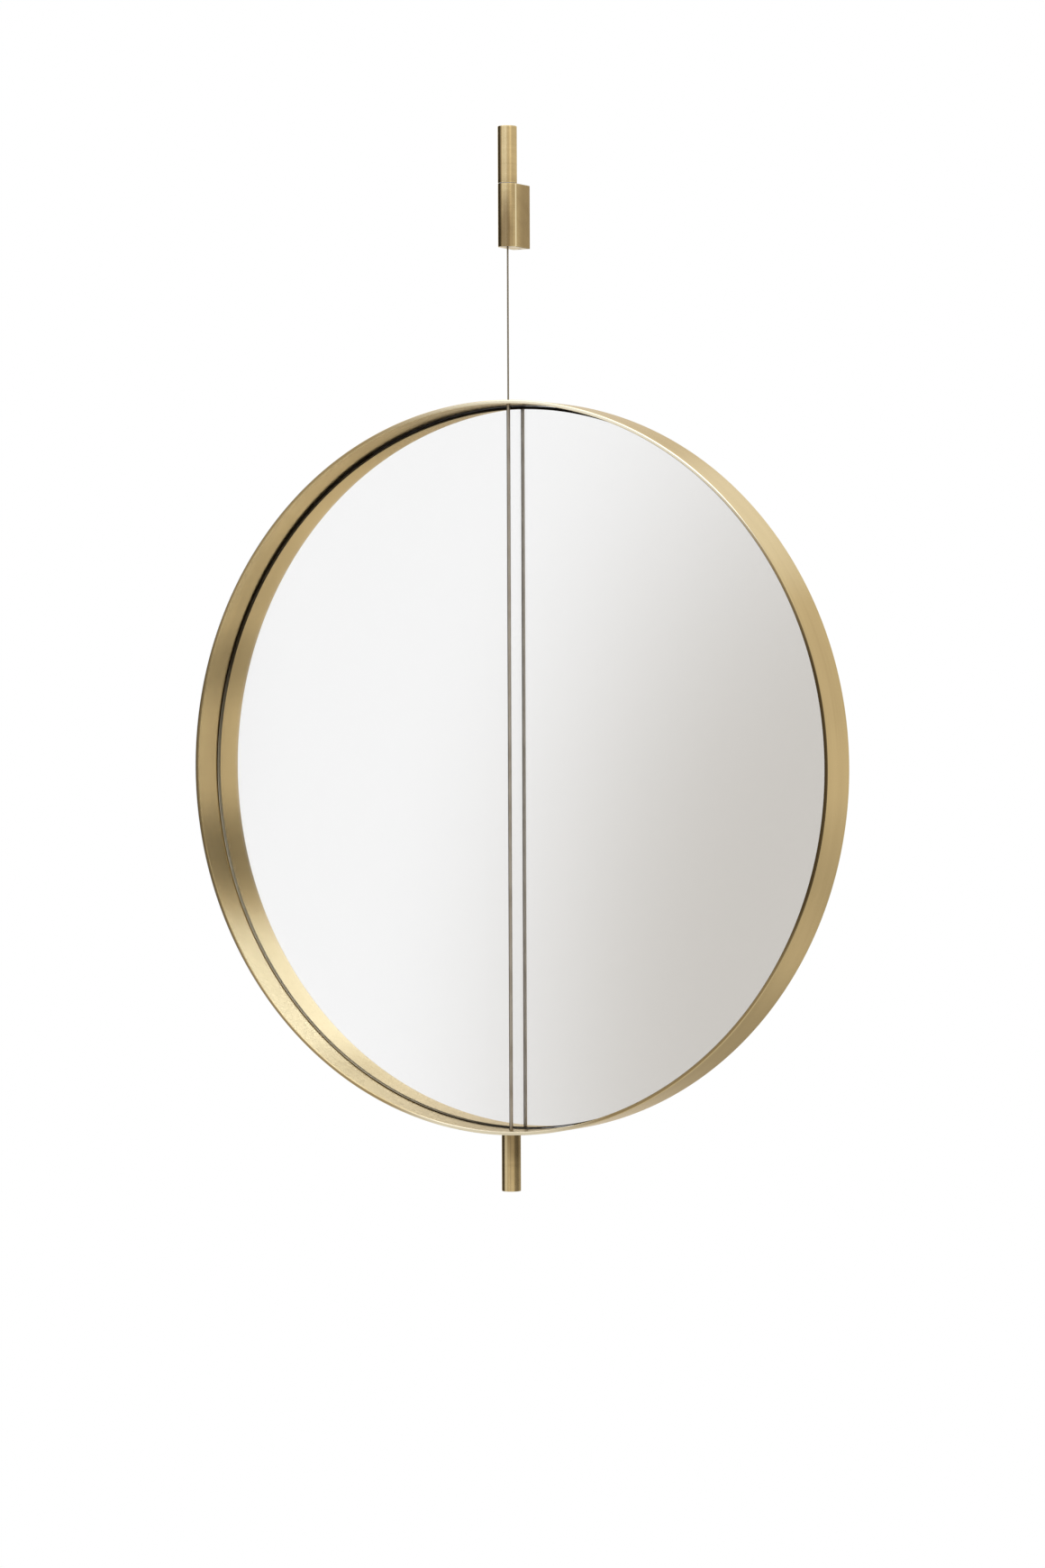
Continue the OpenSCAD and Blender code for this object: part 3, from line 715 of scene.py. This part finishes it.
painted_shade_faces = inward & (middles[:, 1] > glass_low.y)
hoop.data.polygons.foreach_set("material_index", painted_shade_faces.astype(np.int32))
# The inner-wall faces behind the glass's front carry the painted shade
print("faces with mill skin:", painted_shade_faces.sum())

# %% [markdown]
# The bushes are bearing bronze, turned on a lathe and left as the tool left them: browner than
# the brass, with rings that the eye catches as a soft sheen. Grease darkens them in patches.
# The rings are drawn 0.25 mm apart, as a coarse feed leaves them.

# %% Turned bronze
RING_STREAK, RING_PITCH, GREASE_PATCH = 0.01, 0.00025, 0.004
bronze, tree = empty_material("turned_bronze")
here, height, arm, radius = about_axis(tree, ON_CABLE, Z_AXIS)
laid = lines_round(tree, height, arm, radius, Z_AXIS, RING_STREAK, RING_PITCH)
rings = add(tree, "ShaderNodeTexNoise", {"Vector": laid, "Scale": 1.0, "Detail": 2.0})
grease = add(tree, "ShaderNodeTexNoise",
             {"Vector": here, "Scale": 1 / GREASE_PATCH, "Detail": 3.0})
patch = add(tree, "ShaderNodeMapRange",
            {"Value": grease.outputs["Fac"], "From Min": 0.45, "From Max": 0.7})
shade = add(tree, "ShaderNodeMix",
            {"Factor": patch.outputs[0], 6: colour("#A2835A"), 7: colour("#6B5236")},
            data_type="RGBA")
gloss = add(tree, "ShaderNodeMapRange",
            {"Value": rings.outputs["Fac"], "To Min": 0.26, "To Max": 0.42})
close(tree, shade.outputs[2], gloss.outputs[0], rings.outputs["Fac"], strength=0.3,
      depth=0.00005, Metallic=1.0, Anisotropic=0.4, Tangent=smear(tree, arm))
print("finish:", bronze.name)

# %% [markdown]
# The cable is stranded stainless wire. Wire is drawn bright, but the grooves between the strands
# hold dust and a little oil, so the tops shine and the grooves are khaki. The mask is simply the
# distance from the cable's own middle.

# %% Stranded stainless wire
GROOVE_R, CROWN_R, DUST_PATCH = 0.80 * cable_radius, 0.99 * cable_radius, 0.003
wire, tree = empty_material("stranded_stainless_wire")
here, _, _, radius = about_axis(tree, ON_CABLE, Z_AXIS)
crown = add(tree, "ShaderNodeMapRange",
            {"Value": radius, "From Min": GROOVE_R, "From Max": CROWN_R})
dust = add(tree, "ShaderNodeTexNoise", {"Vector": here, "Scale": 1 / DUST_PATCH, "Detail": 3.0})
dusty = add(tree, "ShaderNodeMix",
            {"Factor": dust.outputs["Fac"], 6: colour("#6A6152"), 7: colour("#8E8470")},
            data_type="RGBA")
shade = add(tree, "ShaderNodeMix",
            {"Factor": crown.outputs[0], 6: dusty.outputs[2], 7: colour("#958871")},
            data_type="RGBA")
gloss = add(tree, "ShaderNodeMapRange",
            {"Value": crown.outputs[0], "To Min": 0.5, "To Max": 0.28})
close(tree, shade.outputs[2], gloss.outputs[0], dust.outputs["Fac"], strength=0.2,
      depth=0.00005, Metallic=1.0)
print("finish:", wire.name)

# %% [markdown]
# The sleeve is stainless tube, drawn through a die, which leaves lines along it. Long highlights
# run its whole height and break up a little, where the lines catch more or less light. Here the
# noise is stretched along the height, and the smear goes round the tube. The lines are drawn
# 0.4 mm wide, coarser than real ones.

# %% Drawn stainless tube
LINE_WIDTH, LINE_LENGTH, TOUCH_PATCH = 0.0004, 0.06, 0.025
drawn, tree = empty_material("drawn_stainless_tube")
here = add(tree, "ShaderNodeTexCoord").outputs["Object"]
laid = add(tree, "ShaderNodeVectorMath",
           {0: here, 1: (1 / LINE_WIDTH, 1 / LINE_WIDTH, 1 / LINE_LENGTH)},
           operation="MULTIPLY")
lines = add(tree, "ShaderNodeTexNoise",
            {"Vector": laid.outputs[0], "Scale": 1.0, "Detail": 2.0})
touch = add(tree, "ShaderNodeTexNoise",
            {"Vector": here, "Scale": 1 / TOUCH_PATCH, "Detail": 3.0})
film = add(tree, "ShaderNodeMapRange",
           {"Value": touch.outputs["Fac"], "From Min": 0.4, "From Max": 0.7})
shade = add(tree, "ShaderNodeMix",
            {"Factor": film.outputs[0], 6: colour("#A79E90"), 7: colour("#978D7E")},
            data_type="RGBA")
gloss = add(tree, "ShaderNodeMapRange",
            {"Value": lines.outputs["Fac"], "To Min": 0.24, "To Max": 0.36})
way = add(tree, "ShaderNodeCombineXYZ", {"Z": 1.0}).outputs[0]
close(tree, shade.outputs[2], gloss.outputs[0], lines.outputs["Fac"], strength=0.15,
      depth=0.00005, Metallic=1.0, Anisotropic=0.4, Tangent=smear(tree, way))
print("finish:", drawn.name)

# %% [markdown]
# The screws are stainless, cold-headed and then tumbled clean. Tumbling leaves small flat dents
# in all directions, so they glint but don't mirror. Voronoi cells 0.3 mm across make the dents:
# the distance to the cell's middle is a shallow bowl.

# %% Tumbled stainless screws
DENT, WEAR_PATCH = 0.0003, 0.002
tumbled, tree = empty_material("tumbled_stainless")
here = add(tree, "ShaderNodeTexCoord").outputs["Object"]
dents = add(tree, "ShaderNodeTexVoronoi", {"Vector": here, "Scale": 1 / DENT})
wear = add(tree, "ShaderNodeTexNoise", {"Vector": here, "Scale": 1 / WEAR_PATCH, "Detail": 4.0})
shade = add(tree, "ShaderNodeMix",
            {"Factor": wear.outputs["Fac"], 6: colour("#7C7C7E"), 7: colour("#9A9A9B")},
            data_type="RGBA")
gloss = add(tree, "ShaderNodeMapRange",
            {"Value": wear.outputs["Fac"], "To Min": 0.25, "To Max": 0.45})
close(tree, shade.outputs[2], gloss.outputs[0], dents.outputs["Distance"], strength=0.25,
      depth=0.00005, Metallic=1.0)
print("finish:", tumbled.name)

# %% [markdown]
# The wall plate and the lugs are mild steel, zinc plated and blue passivated. The plating is a
# pale grey that drifts between bluish and straw where the passivation is thicker, and it has a
# few handling scratches that show the duller steel. A scratch is where stretched noise is close
# to its middle value, which happens along thin curved lines.

# %% Zinc-plated steel
DRIFT_PATCH, SCRATCH_HALF = 0.012, 0.006
# Waves about 8 mm wide and 55 mm tall
SCRATCH_WAVES = (120, 120, 18)
zinc, tree = empty_material("zinc_plated_steel")
here = add(tree, "ShaderNodeTexCoord").outputs["Object"]
drift = add(tree, "ShaderNodeTexNoise",
            {"Vector": here, "Scale": 1 / DRIFT_PATCH, "Detail": 2.0})
plating = add(tree, "ShaderNodeMix",
              {"Factor": drift.outputs["Fac"], 6: colour("#A9B1BD"), 7: colour("#BDB9A6")},
              data_type="RGBA")
long = add(tree, "ShaderNodeVectorMath", {0: here, 1: SCRATCH_WAVES}, operation="MULTIPLY")
wave = add(tree, "ShaderNodeTexNoise", {"Vector": long.outputs[0], "Scale": 1.0, "Detail": 3.0})
off = add(tree, "ShaderNodeMath", {0: wave.outputs["Fac"], 1: 0.5}, operation="SUBTRACT")
off = add(tree, "ShaderNodeMath", {0: off.outputs[0]}, operation="ABSOLUTE")
scratch = add(tree, "ShaderNodeMapRange",
              {"Value": off.outputs[0], "From Max": SCRATCH_HALF, "To Min": 1.0, "To Max": 0.0})
shade = add(tree, "ShaderNodeMix",
            {"Factor": scratch.outputs[0], 6: plating.outputs[2], 7: colour("#85868A")},
            data_type="RGBA")
gloss = add(tree, "ShaderNodeMapRange",
            {"Value": drift.outputs["Fac"], "To Min": 0.28, "To Max": 0.45})
close(tree, shade.outputs[2], gloss.outputs[0], drift.outputs["Fac"], strength=0.15,
      depth=0.0002, Metallic=1.0)
print("finish:", zinc.name)

# %% [markdown]
# The two thrust washers are natural acetal, punched from sheet: a milky plastic that light
# enters a little way. A small subsurface share gives that, and a faint polish shows where they
# were turned on.

# %% Natural acetal
RUB_STREAK, RUB_PITCH, GLOW_DEPTH = 0.004, 0.0004, 0.0005
acetal, tree = empty_material("natural_acetal")
_, height, arm, radius = about_axis(tree, ON_CABLE, Z_AXIS)
rubbed = lines_round(tree, height, arm, radius, Z_AXIS, RUB_STREAK, RUB_PITCH)
wear = add(tree, "ShaderNodeTexNoise", {"Vector": rubbed, "Scale": 1.0, "Detail": 2.0})
shade = add(tree, "ShaderNodeMix",
            {"Factor": wear.outputs["Fac"], 6: colour("#DEDACD"), 7: colour("#CFC9B8")},
            data_type="RGBA")
gloss = add(tree, "ShaderNodeMapRange",
            {"Value": wear.outputs["Fac"], "To Min": 0.35, "To Max": 0.6})
close(tree, shade.outputs[2], gloss.outputs[0], wear.outputs["Fac"], strength=0.1,
      depth=0.00005, Subsurface_Weight=0.15, Subsurface_Scale=GLOW_DEPTH)
print("finish:", acetal.name)

# %% [markdown]
# The adhesive strips are closed-cell foam. Cut foam shows its cells as tiny bowls with pale
# walls, so the Voronoi distance makes both the bump and the shade. The cells are drawn 0.5 mm
# across, somewhat coarser than real ones.

# %% Closed-cell foam
FOAM_CELL, GRIME_PATCH = 0.0005, 0.02
foam, tree = empty_material("closed_cell_foam")
here = add(tree, "ShaderNodeTexCoord").outputs["Object"]
cells = add(tree, "ShaderNodeTexVoronoi", {"Vector": here, "Scale": 1 / FOAM_CELL})
grime = add(tree, "ShaderNodeTexNoise", {"Vector": here, "Scale": 1 / GRIME_PATCH, "Detail": 3.0})
shade = add(tree, "ShaderNodeMix",
            {"Factor": cells.outputs["Distance"], 6: colour("#C9C9C6"), 7: colour("#E2E2DF")},
            data_type="RGBA")
gloss = add(tree, "ShaderNodeMapRange",
            {"Value": grime.outputs["Fac"], "To Min": 0.8, "To Max": 0.95})
close(tree, shade.outputs[2], gloss.outputs[0], cells.outputs["Distance"], strength=0.5,
      depth=0.0001)
print("finish:", foam.name)

# %% [markdown]
# The backing panel is a thin composite sheet with a baked matt coating. A sprayed or rolled
# coating dries with a slight orange peel, here waves 1.5 mm long, and it scuffs: pale marks
# where it leant on something. The scuffs are one noise used twice, as colour and as gloss.

# %% Matt coated panel
PEEL_WAVE, SCUFF_PATCH = 0.0015, 0.05
coated, tree = empty_material("matt_coated_panel")
here = add(tree, "ShaderNodeTexCoord").outputs["Object"]
peel = add(tree, "ShaderNodeTexNoise", {"Vector": here, "Scale": 1 / PEEL_WAVE, "Detail": 1.0})
scuffs = add(tree, "ShaderNodeTexNoise",
             {"Vector": here, "Scale": 1 / SCUFF_PATCH, "Detail": 6.0, "Roughness": 0.7})
mark = add(tree, "ShaderNodeMapRange",
           {"Value": scuffs.outputs["Fac"], "From Min": 0.54, "From Max": 0.70})
shade = add(tree, "ShaderNodeMix",
            {"Factor": mark.outputs[0], 6: colour("#171511"), 7: colour("#2A2823")},
            data_type="RGBA")
gloss = add(tree, "ShaderNodeMapRange",
            {"Value": mark.outputs[0], "To Min": 0.5, "To Max": 0.65})
close(tree, shade.outputs[2], gloss.outputs[0], peel.outputs["Fac"], strength=0.1,
      depth=0.0002, Specular_IOR_Level=0.15)
print("finish:", coated.name)

# %% [markdown]
# The slab is clear float glass. A cloth never quite reaches the corner between glass and hoop:
# the last centimetre or so keeps a thin film, which is a trace of roughness.

# %% Clear float glass
WIPED_R, WIPE_PATCH = 0.380, 0.03
float_glass, tree = empty_material("clear_float_glass")
here, _, _, radius = about_axis(tree, ON_HOOP_AXIS, Y_AXIS)
wipe = add(tree, "ShaderNodeTexNoise", {"Vector": here, "Scale": 1 / WIPE_PATCH, "Detail": 3.0})
unwiped = add(tree, "ShaderNodeMapRange",
              {"Value": radius, "From Min": WIPED_R, "From Max": GLASS_R, "To Max": 0.02})
gloss = add(tree, "ShaderNodeMath", {0: unwiped.outputs[0], 1: wipe.outputs["Fac"]},
            operation="MULTIPLY")
close(tree, colour("#FEFEFE"), gloss.outputs[0], wipe.outputs["Fac"], strength=0.001,
      depth=0.00001, IOR=1.52, Transmission_Weight=1.0)
print("finish:", float_glass.name)

# %% [markdown]
# The slab's side is ground and then sealed by hand with a dark brown lacquer, which keeps damp
# off the silver. The brush laps 0.7 mm onto the front. That makes the dark line round the
# mirror, and one also sees the sealed side through the glass. At the lower left a pale colour is
# painted over the lacquer, painted light where the light falls into the gap: a soft ramp along
# one direction blends the two.
# The side and the border get a second material slot, picked by where a face lies and by the
# direction of its normal.

# %% Sealed edge of the glass
BRUSH_MARK = 0.004
# The way to the strongest painted light on the edge, and how far from it it begins and is full
edge_light_way, edge_light_from, edge_light_full = (math.radians(a) for a in (215, 56, 18))
sealed, tree = empty_material("lacquered_ground_glass")
here = add(tree, "ShaderNodeTexCoord").outputs["Object"]
local = add(tree, "ShaderNodeVectorMath", {0: here, 1: glass_middle}, operation="SUBTRACT")
towards = add(tree, "ShaderNodeVectorMath",
              {0: local.outputs[0], 1: (math.cos(edge_light_way), 0.0, math.sin(edge_light_way))},
              operation="DOT_PRODUCT")
# Painted light: the sealed edge turns pale towards the lower left
thin = add(tree, "ShaderNodeMapRange",
           {"Value": towards.outputs["Value"], "From Min": GLASS_R * math.cos(edge_light_from),
            "From Max": GLASS_R * math.cos(edge_light_full)}, interpolation_type="SMOOTHSTEP")
brush = add(tree, "ShaderNodeTexNoise", {"Vector": here, "Scale": 1 / BRUSH_MARK, "Detail": 3.0})
lacquer = add(tree, "ShaderNodeMix",
              {"Factor": brush.outputs["Fac"], 6: colour("#251D11"), 7: colour("#362B1A")},
              data_type="RGBA")
# The pale colour here is painted light
shade = add(tree, "ShaderNodeMix",
            {"Factor": thin.outputs[0], 6: lacquer.outputs[2], 7: colour("#E2D4B2")},
            data_type="RGBA")
gloss = add(tree, "ShaderNodeMapRange",
            {"Value": brush.outputs["Fac"], "To Min": 0.5, "To Max": 0.7})
close(tree, shade.outputs[2], gloss.outputs[0], brush.outputs["Fac"], strength=0.2,
      depth=0.0001, Specular_IOR_Level=0.1)
glass.data.materials.clear()
glass.data.materials.append(float_glass)
glass.data.materials.append(sealed)
normals, middles = faces_of(glass.data)
middles -= glass_middle
outer = np.hypot(middles[:, 0], middles[:, 2]) > GLASS_R - BORDER
side = outer & (normals[:, 1] < 0.3)
glass.data.polygons.foreach_set("material_index", side.astype(np.int32))
print("faces of the sealed edge:", side.sum())

# %% [markdown]
# Silver is poured on the back of the glass as a bath, and then covered with grey paint. From the
# front it mirrors perfectly, from behind it is a painted sheet. Both belong to one thin disc, and
# the depth of a point tells which side it is on.

# %% Silver with its back paint
PAINT_GRAIN = 0.002
silvering, tree = empty_material("poured_silver")
here = add(tree, "ShaderNodeTexCoord").outputs["Object"]
depth = add(tree, "ShaderNodeSeparateXYZ", {0: here}).outputs["Y"]
behind = add(tree, "ShaderNodeMath", {0: depth, 1: (film_front + film_back) / 2},
             operation="GREATER_THAN").outputs[0]
metal = add(tree, "ShaderNodeMath", {0: 1.0, 1: behind}, operation="SUBTRACT").outputs[0]
paint = add(tree, "ShaderNodeTexNoise", {"Vector": here, "Scale": 1 / PAINT_GRAIN, "Detail": 3.0})
shade = add(tree, "ShaderNodeMix",
            {"Factor": behind, 6: colour("#F8F8F8"), 7: colour("#7F8286")}, data_type="RGBA")
gloss = add(tree, "ShaderNodeMath", {0: behind, 1: 0.6}, operation="MULTIPLY")
rise = add(tree, "ShaderNodeMath", {0: behind, 1: paint.outputs["Fac"]}, operation="MULTIPLY")
close(tree, shade.outputs[2], gloss.outputs[0], rise.outputs[0], strength=0.1, depth=0.0001,
      Metallic=metal)
silver.data.materials.clear()
silver.data.materials.append(silvering)
print("finish:", silvering.name)

# %% [markdown]
# Each solid that is still shown gets the finish of its kind. The caps belong to their rods, so
# they share the rod's brass.

# %% Finishes for the solids
kinds = {
    "bearing_bronze": bronze,
    "cable_steel": wire,
    "sleeve_steel": drawn,
    "screw_steel": tumbled,
    "zinc_plated_steel": zinc,
    "thrust_plastic": acetal,
    "foam_tape": foam,
    "coated_panel": coated,
    "silvered_glass": silvering,
}
own = {
    "terminal_cap": rod_brass["top_terminal"],
    "bob_cap": rod_brass["bob"],
    "hoop": hoop_brass,
    **rod_brass,
}
cable.data.materials.clear()
cable.data.materials.append(wire)
for part in frame["record"]["subparts"]:
    solid = frame["nodes"][part["node"]]
    solid.data.materials.clear()
    solid.data.materials.append(own.get(part["node"]) or kinds[part["material_slot"]])
print("solids with a finish:", len(frame["nodes"]))

# %% [markdown]

# %% Finish
import json
